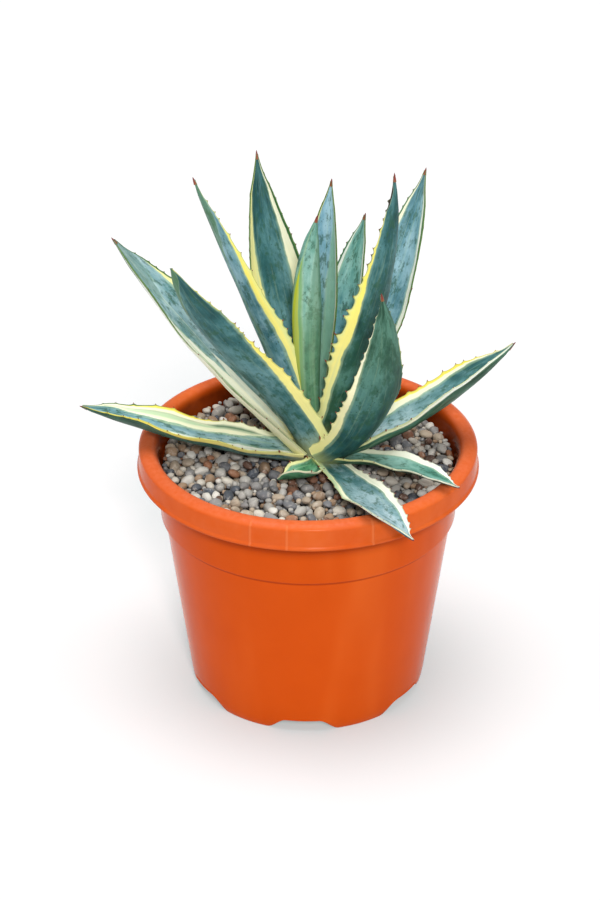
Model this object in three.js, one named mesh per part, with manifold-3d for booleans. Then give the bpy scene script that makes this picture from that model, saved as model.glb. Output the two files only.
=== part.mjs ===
// A variegated agave in a round orange plastic pot, topped with gravel.
// Millimetres, +Z up. The origin is on the pot's axis at floor level, and -Y is the front.
// Every piece is a node of its own: pot, potting mix, gravel, stem and each leaf.
import * as THREE from "three";
import { mergeVertices } from "three/addons/utils/BufferGeometryUtils.js";
import Module from "manifold-3d";

const wasm = await Module();
wasm.setup();

// --- sizes that several pieces share ---------------------------------------
const GAP = 0.3; // clear space kept between two pieces
const RIM_Z = 197; // top of the pot's lip
const FLOOR_Z = 12.5; // inside floor of the pot
const SOIL_Z = 168; // top of the potting mix
const CROWN = { x: 7, y: -1 }; // where the plant stands, a little off the pot's axis

const MATERIALS = {
  pot: new THREE.MeshStandardMaterial({ color: 0xd8531a, roughness: 0.3, metalness: 0 }),
  soil: new THREE.MeshStandardMaterial({ color: 0x3b2a1e, roughness: 0.95, metalness: 0 }),
  gravel: new THREE.MeshStandardMaterial({ color: 0x9c9288, roughness: 0.8, metalness: 0 }),
  stem: new THREE.MeshStandardMaterial({ color: 0xb9c08a, roughness: 0.7, metalness: 0 }),
  leaf: new THREE.MeshStandardMaterial({ color: 0x3f6f68, roughness: 0.45, metalness: 0 }),
};

const mix = (a, b, t) => a + (b - a) * t;
const radians = THREE.MathUtils.degToRad;

// --- between three.js geometries and manifold solids -----------------------
function solidOf(geometry) {
  const bare = geometry.clone();
  bare.deleteAttribute("normal");
  bare.deleteAttribute("uv");
  const merged = mergeVertices(bare, 1e-4);
  const solid = new wasm.Manifold(
    new wasm.Mesh({
      numProp: 3,
      vertProperties: merged.attributes.position.array,
      triVerts: new Uint32Array(merged.index.array),
    }),
  );
  if (solid.volume() > 0) return solid;
  const turnedRound = merged.index.array.map((_, i, all) => all[i - (i % 3) + [0, 2, 1][i % 3]]);
  merged.setIndex(new THREE.BufferAttribute(turnedRound, 1));
  return solidOf(merged);
}

function meshOf(name, solid, material) {
  const made = solid.getMesh();
  const geometry = new THREE.BufferGeometry();
  geometry.setAttribute("position", new THREE.BufferAttribute(made.vertProperties, 3));
  geometry.setIndex(new THREE.BufferAttribute(made.triVerts, 1));
  geometry.computeVertexNormals();
  const mesh = new THREE.Mesh(geometry, material);
  mesh.name = name;
  return mesh;
}

function geometryOf(points, triangles) {
  const geometry = new THREE.BufferGeometry();
  geometry.setAttribute("position", new THREE.Float32BufferAttribute(points.flat(), 3));
  geometry.setIndex(triangles.flat());
  return geometry;
}

// [radius, z] corners, from one point on the axis to another, turned about the z axis.
function turned(corners, segments) {
  const profile = corners.map(([radius, z]) => new THREE.Vector2(radius, z));
  return new THREE.LatheGeometry(profile, segments).rotateX(Math.PI / 2);
}

const cutBy = (solid, cutters) => cutters.reduce((left, cutter) => left.subtract(cutter), solid);
const largestBody = (solid) => solid.decompose().reduce((a, b) => (b.volume() > a.volume() ? b : a));

// --- the pot ---------------------------------------------------------------
const POT_SEGMENTS = 48;
const FOOT_RADIUS = 84.2; // outside, where the foot ring meets the floor
const HEEL = { radius: 87, z: 10 }; // top of the rounding above the foot
const CREASE = { radius: 105.2, z: 138 }; // where the body ends under the collar
const COLLAR = { low: 108.2, high: 109.8, z: 140.3 };
const LIP = { bottom: 177, radius: 124.9, top: 123.6, wall: 2.4 };
const HUB_RADIUS = 20; // flat pad under the middle of the floor, level with the feet
const WALL = 2.2;

// The inside of the wall, from the floor to the lip's inner edge.
const INSIDE_WALL = [
  [HEEL.radius - 4, FLOOR_Z],
  [HEEL.radius - WALL, FLOOR_Z + 2],
  [CREASE.radius - WALL, CREASE.z],
  [COLLAR.low - WALL - 0.4, CREASE.z + 5],
  [COLLAR.high - WALL - 0.4, LIP.bottom],
  [COLLAR.high - 0.4, RIM_Z - 6],
  [COLLAR.high + 2.6, RIM_Z - 1.4],
];

const POT_OUTLINE = [
  [0, 0],
  [HUB_RADIUS, 0],
  [HUB_RADIUS + 2, HEEL.z],
  [FOOT_RADIUS - 1.2, HEEL.z],
  [FOOT_RADIUS - 2.4, 0],
  [FOOT_RADIUS, 0],
  [FOOT_RADIUS + 1.7, 4],
  [HEEL.radius, HEEL.z],
  [CREASE.radius, CREASE.z],
  [CREASE.radius + 0.8, CREASE.z + 1.5],
  [COLLAR.low, COLLAR.z],
  [COLLAR.high, LIP.bottom - 1],
  // the hollow under the lip
  [COLLAR.high + 1.2, RIM_Z - 4],
  [COLLAR.high + 3, RIM_Z - LIP.wall - 0.4],
  [LIP.top - 2.2, RIM_Z - LIP.wall - 0.4],
  [LIP.radius - LIP.wall, LIP.bottom],
  // the lip's outside, with a bead along its lower edge
  [LIP.radius, LIP.bottom],
  [LIP.radius + 0.3, LIP.bottom + 2],
  [LIP.radius - 0.4, LIP.bottom + 4],
  [LIP.top, RIM_Z - 4],
  [LIP.top - 1, RIM_Z - 1.1],
  [LIP.top - 3.4, RIM_Z],
  [COLLAR.high + 5.6, RIM_Z],
  ...INSIDE_WALL.toReversed(),
  [0, FLOOR_Z],
];

const NOTCH = { count: 6, first: -92.7, halfWidth: 24.5, height: 9.2 };
const DRAIN = { count: 6, radius: 5, circle: 46 };

// An arch that runs outwards through the foot ring.
function notchCutter(degrees) {
  const arch = new THREE.Shape();
  arch.moveTo(-NOTCH.halfWidth, -1);
  arch.lineTo(NOTCH.halfWidth, -1);
  arch.lineTo(NOTCH.halfWidth - 1, 0.6);
  arch.quadraticCurveTo(NOTCH.halfWidth - 8, NOTCH.height, NOTCH.halfWidth - 15, NOTCH.height);
  arch.lineTo(15 - NOTCH.halfWidth, NOTCH.height);
  arch.quadraticCurveTo(8 - NOTCH.halfWidth, NOTCH.height, 1 - NOTCH.halfWidth, 0.6);
  const reach = 35;
  const block = new THREE.ExtrudeGeometry(arch, { depth: reach, bevelEnabled: false, curveSegments: 3 });
  block.rotateX(Math.PI / 2).translate(0, FOOT_RADIUS - 20 + reach, 0);
  return solidOf(block.rotateZ(radians(degrees - 90)));
}

function drainCutter(degrees) {
  const hole = new THREE.CylinderGeometry(DRAIN.radius, DRAIN.radius, 10, 12).rotateX(Math.PI / 2);
  hole.translate(DRAIN.circle, 0, FLOOR_Z - 1);
  return solidOf(hole.rotateZ(radians(degrees)));
}

function makePot() {
  const cutters = [];
  for (let i = 0; i < NOTCH.count; i++) cutters.push(notchCutter(NOTCH.first + (360 * i) / NOTCH.count));
  for (let i = 0; i < DRAIN.count; i++) cutters.push(drainCutter((360 * i) / DRAIN.count));
  return cutBy(solidOf(turned(POT_OUTLINE, POT_SEGMENTS)), cutters);
}

// Radius of the pot's inside wall at a height.
function insideRadius(z) {
  const above = INSIDE_WALL.findIndex(([, wallZ]) => wallZ >= z);
  const [r0, z0] = INSIDE_WALL[above - 1];
  const [r1, z1] = INSIDE_WALL[above];
  return mix(r0, r1, (z - z0) / (z1 - z0));
}

// --- potting mix, gravel and stem ------------------------------------------
function makeStem(grow = 0) {
  const corners = [
    [0, 158 - grow],
    [6 + grow, 158 - grow],
    [8.5 + grow, 172],
    [9 + grow, 188],
    [7 + grow, 199],
    [2.5 + grow, 204 + grow],
    [0, 204 + grow],
  ];
  return solidOf(turned(corners, 14).translate(CROWN.x, CROWN.y, 0));
}

function makeSoil() {
  const levels = [FLOOR_Z + GAP, FLOOR_Z + 2.3, CREASE.z, CREASE.z + 5, SOIL_Z];
  // Faceted walls come closer together between their corners, hence twice the gap.
  const side = levels.map((z) => [insideRadius(z) - 2 * GAP, z]);
  return solidOf(turned([[0, levels[0]], ...side, [0, SOIL_Z]], 24)).subtract(makeStem(GAP));
}

// The gravel is a honeycomb of cells. Each cell rises from the hollows at its corners to the
// crest of one main pebble.
const GRAVEL = { pitch: 13, reach: 10, shift: 2.8, hollow: 180.6, crest: 184.4, vary: 2.6 };

// A repeatable draw from 0 to 1 for cell i, j of the honeycomb.
function cellDraw(i, j, kind) {
  const wild = Math.sin(12.9898 * i + 78.233 * j + 37.719 * kind) * 43758.5453;
  return wild - Math.floor(wild);
}

function crest(i, j) {
  const shift = (kind) => GRAVEL.shift * (2 * cellDraw(i, j, kind) - 1);
  const x = GRAVEL.pitch * (i + j / 2) + shift(1);
  const y = GRAVEL.pitch * j * Math.sqrt(0.75) + shift(2);
  return new THREE.Vector3(x, y, GRAVEL.crest + GRAVEL.vary * cellDraw(i, j, 3));
}

// The hollow between cell i, j and the two neighbours that lie one step along these directions.
function hollow(i, j, first, second) {
  const corner = crest(i, j).add(crest(i + first[0], j + first[1])).add(crest(i + second[0], j + second[1]));
  return corner.divideScalar(3).setZ(GRAVEL.hollow + cellDraw(corner.x, corner.y, 4));
}

// A block whose top is the honeycomb, wider than the pot.
function pebbleBlock() {
  const around = [[1, 0], [0, 1], [-1, 1], [-1, 0], [0, -1], [1, -1]];
  const cells = [];
  for (let i = -GRAVEL.reach; i <= GRAVEL.reach; i++)
    for (let j = -GRAVEL.reach; j <= GRAVEL.reach; j++)
      if (Math.abs(i + j) <= GRAVEL.reach) {
        const top = crest(i, j);
        const corners = around.map((step, k) => hollow(i, j, step, around[(k + 1) % 6]));
        const below = [top, ...corners].map((point) => point.clone().setZ(SOIL_Z - 5));
        const points = [top, ...corners, ...below].map((point) => point.toArray());
        const faces = [];
        for (let k = 0; k < 6; k++) {
          const a = k + 1;
          const b = ((k + 1) % 6) + 1;
          faces.push([0, a, b], [7, b + 7, a + 7], [a, a + 7, b + 7], [a, b + 7, b]);
        }
        cells.push(solidOf(geometryOf(points, faces)));
      }
  return wasm.Manifold.union(cells);
}

function makeGravel() {
  const bottom = SOIL_Z + GAP;
  const levels = [bottom, LIP.bottom, LIP.bottom + 13];
  const side = levels.map((z) => [insideRadius(z) - 2 * GAP, z]);
  const mouth = turned([[0, bottom], ...side, [0, levels[2]]], 42);
  return solidOf(mouth).intersect(pebbleBlock());
}

// --- leaves ----------------------------------------------------------------
// Every leaf is a gutter-shaped blade swept along a cubic through four points.
//   path   base, two points between, and tip, mm
//   face   azimuth in degrees that the outer face looks towards, at the base and at the tip
//   width  widest width along the blade's arc, mm
//   neck   width at the base, as a share of it
//   belly  where the blade is widest, from 0 at the base to 1 at the tip
//   curl   half angle of the gutter's arc in degrees, at the base, the middle and the tip
//   wave   height in mm of the slow ripple of the two edges
//   taper  how blunt the blade is from its belly to its tip
// The list runs from the centre outwards.
const LEAVES = [
  // centre bud and the leaves around it
  { name: "leaf_bud_front", path: [[2.5, -4, 206], [-2.5, -7, 272], [-1.8, -5, 328], [6.7, -1, 381]],
    face: [255, 255], width: 35, neck: 0.5, belly: 0.5, curl: [115, 110, 80], wave: 0, taper: 1.5 },
  { name: "leaf_bud_back", path: [[7, 3, 206], [8, 8, 272], [11.3, 14, 337], [16.6, 20, 399]],
    face: [75, 75], width: 35, neck: 0.3, belly: 0.5, curl: [80, 70, 60], wave: 0, taper: 1.6 },
  { name: "leaf_back_small", path: [[11, 7, 198], [19.5, 22, 257], [30.5, 38, 310], [41.2, 50, 357]],
    face: [60, 60], width: 39, neck: 0.7, belly: 0.35, curl: [60, 42, 50], wave: 0.6, taper: 1.7 },
  { name: "leaf_back_tall", path: [[1, 7, 198], [-12, 28, 260], [-27.5, 52, 324], [-37.3, 80, 393]],
    face: [105, 105], width: 50, neck: 0.65, belly: 0.45, curl: [60, 45, 60], wave: 0.8, taper: 1.7 },
  { name: "leaf_left_upright", path: [[1, -4, 198], [-23, 2, 262], [-53.5, 12, 332], [-82, 25, 398]],
    face: [240, 232], width: 38, neck: 0.7, belly: 0.38, curl: [70, 55, 50], wave: 0.5, taper: 1.4 },
  { name: "leaf_right_upright", path: [[12, -7, 198], [33, -10, 264], [53.3, -5, 335], [60.5, 5, 411]],
    face: [285, 290], width: 36, neck: 0.6, belly: 0.4, curl: [70, 50, 55], wave: 0.5, taper: 1.5 },
  { name: "leaf_back_right", path: [[14, 4, 196], [44, 26, 258], [68, 52, 320], [85.4, 80, 379]],
    face: [62, 62], width: 44, neck: 0.7, belly: 0.45, curl: [60, 42, 55], wave: 0.8, taper: 1.7 },
  // leaves that lean outwards
  { name: "leaf_left_front", path: [[3, -11, 194], [-29, -22, 252], [-65, -36, 302], [-96.4, -45, 361]],
    face: [245, 262], width: 42, neck: 0.85, belly: 0.33, curl: [60, 36, 40], wave: 0.8, taper: 2.1 },
  { name: "leaf_right_front", path: [[12, -13, 190], [41, -38, 232], [53.2, -54, 290], [50.8, -58, 348]],
    face: [285, 285], width: 44, neck: 0.8, belly: 0.45, curl: [60, 38, 45], wave: 1, taper: 1.25 },
  { name: "leaf_left_mid", path: [[-3, 2, 190], [-56, 18, 241.5], [-100.5, 38, 286.5], [-142.5, 55, 335]],
    face: [160, 150], width: 61, neck: 0.75, belly: 0.35, curl: [60, 45, 60], wave: 1, taper: 1.7 },
  { name: "leaf_right_long", path: [[16, -3, 188], [58, -4, 206], [104, 0, 234], [149.5, 5, 276]],
    face: [3, -10], width: 52, neck: 0.45, belly: 0.55, curl: [60, 52, 65], wave: 1, taper: 2.0 },
  { name: "leaf_left_low", path: [[-3, -4, 188], [-56, -3, 195], [-112, -2, 209], [-166, 0, 226]],
    face: [182, 191], width: 45, neck: 0.8, belly: 0.45, curl: [50, 45, 60], wave: 1.6, taper: 3.0 },
  { name: "leaf_right_low", path: [[17, -10, 187], [55, -35, 199], [83, -58, 203], [108.3, -78, 202]],
    face: [318, 312], width: 30, neck: 0.8, belly: 0.45, curl: [40, 30, 50], wave: 1, taper: 1.7 },
  { name: "leaf_front_low", path: [[12, -12, 187], [33, -60, 193], [52, -110, 201], [74, -148, 200]],
    face: [290, 280], width: 36, neck: 0.6, belly: 0.5, curl: [35, 20, 50], wave: 1, taper: 1.7 },
  { name: "leaf_front_short", path: [[7, -14, 187.5], [-1, -34, 190], [-12, -42, 190.8], [-22.5, -43.5, 189.5]],
    face: [222, 222], width: 27, neck: 0.5, belly: 0.6, curl: [55, 60, 50], wave: 0, taper: 1.7 },
  // leaves on the far side
  { name: "leaf_rear_high", path: [[7, 9, 192], [8, 30, 226], [10, 52, 258], [12, 74, 286]],
    face: [90, 90], width: 38, neck: 0.75, belly: 0.4, curl: [60, 40, 55], wave: 0.6, taper: 1.7 },
  { name: "leaf_rear_low", path: [[7, 9, 187], [10, 46, 198], [12, 86, 206], [13, 122, 213]],
    face: [88, 88], width: 40, neck: 0.7, belly: 0.45, curl: [50, 36, 55], wave: 1, taper: 1.7 },
  { name: "leaf_rear_right", path: [[15, 7, 187], [32, 38, 197], [49, 70, 204], [64, 100, 204]],
    face: [62, 62], width: 36, neck: 0.7, belly: 0.45, curl: [50, 36, 55], wave: 1, taper: 1.7 },
  { name: "leaf_rear_left", path: [[0, 7, 187], [-22, 36, 198], [-42, 66, 208], [-60, 95, 215]],
    face: [124, 124], width: 38, neck: 0.7, belly: 0.45, curl: [50, 36, 55], wave: 1, taper: 1.7 },
];

const BLADE = { steps: 11, across: [-1, -0.6, 0, 0.6, 1], baseThickness: 5.5, tipThickness: 1.8, edge: 0.9 };
const SPINE_START = 0.97; // the terminal spine runs from here to the tip

// The cubic through four evenly spaced points.
function pathPoint([p0, p1, p2, p3], t) {
  const w0 = -4.5 * (t - 1 / 3) * (t - 2 / 3) * (t - 1);
  const w1 = 13.5 * t * (t - 2 / 3) * (t - 1);
  const w2 = -13.5 * t * (t - 1 / 3) * (t - 1);
  const w3 = 4.5 * t * (t - 1 / 3) * (t - 2 / 3);
  return new THREE.Vector3(...p0.map((_, k) => w0 * p0[k] + w1 * p1[k] + w2 * p2[k] + w3 * p3[k]));
}

function pathLength(path) {
  let length = 0;
  for (let i = 0; i < 20; i++) {
    const next = pathPoint(path, (i + 1) / 20);
    length += pathPoint(path, i / 20).distanceTo(next);
  }
  return length;
}

function halfWidth(leaf, t) {
  const rise = THREE.MathUtils.smoothstep(t, 0, leaf.belly);
  const fall = Math.max((t - leaf.belly) / (1 - leaf.belly), 0);
  const share = mix(leaf.neck, 1, rise) * (1 - Math.pow(fall, leaf.taper));
  return Math.max((leaf.width / 2) * share, 0.9);
}

function curlAt(leaf, t) {
  const [base, middle, tip] = leaf.curl;
  return radians(t < 0.5 ? mix(base, middle, 2 * t) : mix(middle, tip, 2 * t - 1));
}

// The blade is thick in the middle of the base and thin at its edges and tip.
function thickness(leaf, t, u) {
  const fade = Math.pow(Math.max(t, 0), 0.7);
  const middle = mix(BLADE.baseThickness, BLADE.tipThickness, fade) * Math.min(leaf.width / 40, 1);
  return Math.max(mix(BLADE.edge, middle, 1 - u * u), BLADE.edge);
}

// A point of a leaf: t runs from base to tip, u across from -1 to 1, and depth from 0 on the
// inner face to 1 on the outer face. grow swells the leaf by that much all round.
function leafPoint(leaf, t, u, depth, grow = 0) {
  const centre = pathPoint(leaf.path, t);
  const tangent = pathPoint(leaf.path, t + 0.01).sub(pathPoint(leaf.path, t - 0.01)).normalize();
  const azimuth = radians(mix(leaf.face[0], leaf.face[1], t));
  const outward = new THREE.Vector3(Math.cos(azimuth), Math.sin(azimuth), -1);
  outward.addScaledVector(tangent, -outward.dot(tangent)).normalize();
  const side = new THREE.Vector3().crossVectors(tangent, outward);
  const curl = curlAt(leaf, t);
  const radius = (halfWidth(leaf, t) + grow) / curl;
  const ripple = leaf.wave * Math.sin(19 * t + (u > 0 ? 0 : 2)) * u * u * Math.sin(Math.PI * t);
  const lift = radius * (1 - Math.cos(curl * u)) + ripple;
  const out = depth * (thickness(leaf, t, u) + 2 * grow) - grow;
  return centre
    .addScaledVector(side, (radius + out) * Math.sin(curl * u))
    .addScaledVector(outward, out * Math.cos(curl * u) - lift);
}

function makeBlade(leaf, grow) {
  const steps = Array.from({ length: BLADE.steps }, (_, i) => (SPINE_START * i) / (BLADE.steps - 1));
  if (grow > 0) steps.unshift(-0.01);
  const half = BLADE.across.length;
  const around = 2 * half;
  const points = [];
  for (const t of steps) {
    for (const u of BLADE.across) points.push(leafPoint(leaf, t, u, 0, grow).toArray());
    for (const u of BLADE.across.toReversed()) points.push(leafPoint(leaf, t, u, 1, grow).toArray());
  }
  points.push(leafPoint(leaf, 1, 0, 0.5).toArray());
  const tip = points.length - 1;
  const last = (steps.length - 1) * around;
  const triangles = [];
  for (let ring = 0; ring < last; ring += around)
    for (let j = 0; j < around; j++) {
      const a = ring + j;
      const b = ring + ((j + 1) % around);
      // The diagonals mirror each other on the two faces, so both are split alike.
      if (j < half) triangles.push([a, b, b + around], [a, b + around, a + around]);
      else triangles.push([a, b, a + around], [b, b + around, a + around]);
    }
  for (let j = 0; j + 1 < half; j++) {
    const opposite = around - 1 - j;
    triangles.push([j, opposite, j + 1], [j + 1, opposite, opposite - 1]);
  }
  for (let j = 0; j < around; j++) triangles.push([last + j, last + ((j + 1) % around), tip]);
  return solidOf(geometryOf(points, triangles));
}

// --- teeth along the leaves' edges -----------------------------------------
const TOOTH = { pitch: 17, height: 2.3, root: 3.2, sink: 0.9, thickness: 0.75 };

// A repeatable random draw between 0 and 1.
function drawFrom(seed) {
  let state = seed;
  return () => {
    state = (state * 1664525 + 1013904223) % 4294967296;
    return state / 4294967296;
  };
}

// One three-sided spine that hooks towards the leaf's tip, with its root sunk into the edge.
function makeTooth(leaf, t, side, height, grow) {
  const edge = leafPoint(leaf, t, side, 0.5);
  const out = edge.clone().sub(leafPoint(leaf, t, side * 0.9, 0.5)).normalize();
  const along = leafPoint(leaf, t + 0.01, side, 0.5).sub(leafPoint(leaf, t - 0.01, side, 0.5)).normalize();
  const up = new THREE.Vector3().crossVectors(out, along).normalize();
  const place = (outBy, alongBy, upBy) => {
    const corner = edge.clone().addScaledVector(out, outBy).addScaledVector(along, alongBy);
    return corner.addScaledVector(up, upBy).toArray();
  };
  const halfRoot = TOOTH.root / 2 + 3 * grow;
  const low = -0.4 * TOOTH.thickness - grow;
  const high = 0.6 * TOOTH.thickness + grow;
  const corners = [
    place(-TOOTH.sink, -halfRoot, low),
    place(-TOOTH.sink, halfRoot, low),
    place(-TOOTH.sink, 0, high),
    place(height + 2 * grow, 0.3 * height, 0),
  ];
  return solidOf(geometryOf(corners, [[0, 1, 3], [1, 2, 3], [2, 0, 3], [0, 2, 1]]));
}

function makeLeaf(leaf, seed, grow = 0) {
  const draw = drawFrom(seed);
  const length = pathLength(leaf.path);
  const pieces = [makeBlade(leaf, grow)];
  for (const side of [-1, 1]) {
    let reach = 0.19 * length + 4 * draw();
    while (reach < 0.9 * length) {
      const height = TOOTH.height * mix(0.8, 1.15, draw()) * mix(1, 0.6, reach / length);
      pieces.push(makeTooth(leaf, reach / length, side, height, grow));
      reach += TOOTH.pitch * mix(0.85, 1.15, draw());
    }
  }
  return wasm.Manifold.union(pieces);
}

// --- the whole part --------------------------------------------------------
const FIRST_SEED = 11;

// Each leaf gives way to the stem and to the leaves inside it, and the gravel gives way to them all.
const taken = [makeStem(GAP)];
const plant = new THREE.Group();
plant.add(meshOf("stem", makeStem(), MATERIALS.stem));
LEAVES.forEach((leaf, index) => {
  const seed = FIRST_SEED + index;
  const solid = largestBody(cutBy(makeLeaf(leaf, seed), taken));
  plant.add(meshOf(leaf.name, solid, MATERIALS.leaf));
  taken.push(makeLeaf(leaf, seed, GAP));
});

const filledPot = new THREE.Group();
filledPot.add(
  meshOf("pot", makePot(), MATERIALS.pot),
  meshOf("soil", makeSoil(), MATERIALS.soil),
  meshOf("gravel", largestBody(cutBy(makeGravel(), taken)), MATERIALS.gravel),
);

const part = new THREE.Group();
part.add(filledPot, plant);

export default part;
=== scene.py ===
"""Looks of a variegated agave in a round orange plastic pot, topped with gravel.

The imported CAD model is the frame: +Z is up, -Y is the front, and the origin is on the pot's axis
at floor level. Shapes are worked out in millimetres and turned into metres as each mesh is made.
"""

import math

import bmesh
import bpy
import numpy as np
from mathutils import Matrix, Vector


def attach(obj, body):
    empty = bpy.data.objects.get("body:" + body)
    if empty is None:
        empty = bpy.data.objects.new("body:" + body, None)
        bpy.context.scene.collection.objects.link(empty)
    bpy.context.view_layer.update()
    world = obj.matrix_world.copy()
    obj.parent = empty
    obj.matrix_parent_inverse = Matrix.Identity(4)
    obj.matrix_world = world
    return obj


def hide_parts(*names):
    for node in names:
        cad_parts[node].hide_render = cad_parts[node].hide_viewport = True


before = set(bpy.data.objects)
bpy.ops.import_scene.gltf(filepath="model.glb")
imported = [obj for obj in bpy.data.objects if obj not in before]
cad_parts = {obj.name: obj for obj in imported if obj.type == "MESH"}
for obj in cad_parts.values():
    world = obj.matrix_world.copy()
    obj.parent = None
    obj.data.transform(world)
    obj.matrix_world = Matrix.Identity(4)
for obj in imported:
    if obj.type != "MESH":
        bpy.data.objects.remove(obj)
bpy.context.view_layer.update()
BODY = "root"
MM = 0.001
SCENE = bpy.context.scene


# --- camera ----------------------------------------------------------------
def make_camera():
    """A long lens 3 m away that looks down on the pot from the front."""
    target = Vector((-0.0059, 0.0, 0.1888))
    elevation = math.radians(29.6)
    distance = 3.0
    data = bpy.data.cameras.new("camera")
    data.sensor_width = 36.0
    data.lens = 164.4
    camera = bpy.data.objects.new("camera", data)
    camera.location = target + distance * Vector((0, -math.cos(elevation), math.sin(elevation)))
    camera.rotation_euler = (math.radians(90) - elevation, 0, 0)
    SCENE.collection.objects.link(camera)
    SCENE.camera = camera


# --- small helpers ---------------------------------------------------------
def colour(red, green, blue):
    """An sRGB colour in 0 to 255 as the linear colour that a shader takes."""
    parts = []
    for value in (red, green, blue):
        share = value / 255
        parts.append(share / 12.92 if share <= 0.04045 else ((share + 0.055) / 1.055) ** 2.4)
    return (*parts, 1.0)


def smoothstep(value, low, high):
    share = np.clip((value - low) / (high - low), 0, 1)
    return share * share * (3 - 2 * share)


def unit(vectors):
    return vectors / np.linalg.norm(vectors, axis=-1, keepdims=True)


def facing_out(points, faces):
    """The faces turned round if they enclose a negative volume."""
    corners = points[faces[:, :3]]
    volume = np.einsum("ij,ij->", corners[:, 0], np.cross(corners[:, 1], corners[:, 2]))
    return faces if volume > 0 else faces[:, ::-1]


def ring_quads(rings, around):
    """Quads that join each ring of this many points to the next, as rows of four numbers."""
    row = np.arange(rings - 1)[:, None] * around
    here = np.arange(around)[None, :]
    following = (here + 1) % around
    corners = [row + here, row + following, row + around + following, row + around + here]
    return np.stack(corners, axis=-1).reshape(-1, 4)


def without_repeats(quads):
    """The quads as lists in which a point that comes twice, as at a pole, is named once."""
    return [list(dict.fromkeys(quad)) for quad in quads.tolist()]


def ring(middle, first, second, half, sides):
    """Points round a middle, half mm away along the two directions."""
    turns = [2 * math.pi * j / sides for j in range(sides)]
    return [middle + first * half * math.cos(turn) + second * half * math.sin(turn) for turn in turns]


def mesh_piece(name, points, face_groups, materials, uv_maps=None, smooth=True):
    """A piece from points in mm and [(faces, material number)], with UV maps given per point."""
    faces = []
    numbers = []
    for group, number in face_groups:
        faces.extend(group.tolist() if isinstance(group, np.ndarray) else group)
        numbers.extend([number] * len(group))
    mesh = bpy.data.meshes.new(name)
    mesh.from_pydata((np.asarray(points) * MM).tolist(), [], faces)
    for material in materials:
        mesh.materials.append(material)
    mesh.polygons.foreach_set("material_index", numbers)
    mesh.polygons.foreach_set("use_smooth", [smooth] * len(faces))
    corner_points = np.empty(len(mesh.loops), np.int64)
    mesh.loops.foreach_get("vertex_index", corner_points)
    for map_name, values in (uv_maps or {}).items():
        layer = mesh.uv_layers.new(name=map_name)
        layer.data.foreach_set("uv", np.asarray(values, np.float32)[corner_points].ravel())
    mesh.update()
    piece = bpy.data.objects.new(name, mesh)
    SCENE.collection.objects.link(piece)
    return piece


def settle(piece, slot, *nodes):
    """The piece rides with the part in place of these CAD nodes, which are hidden; slot is not used."""
    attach(piece, BODY)
    if nodes:
        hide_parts(*nodes)


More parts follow.
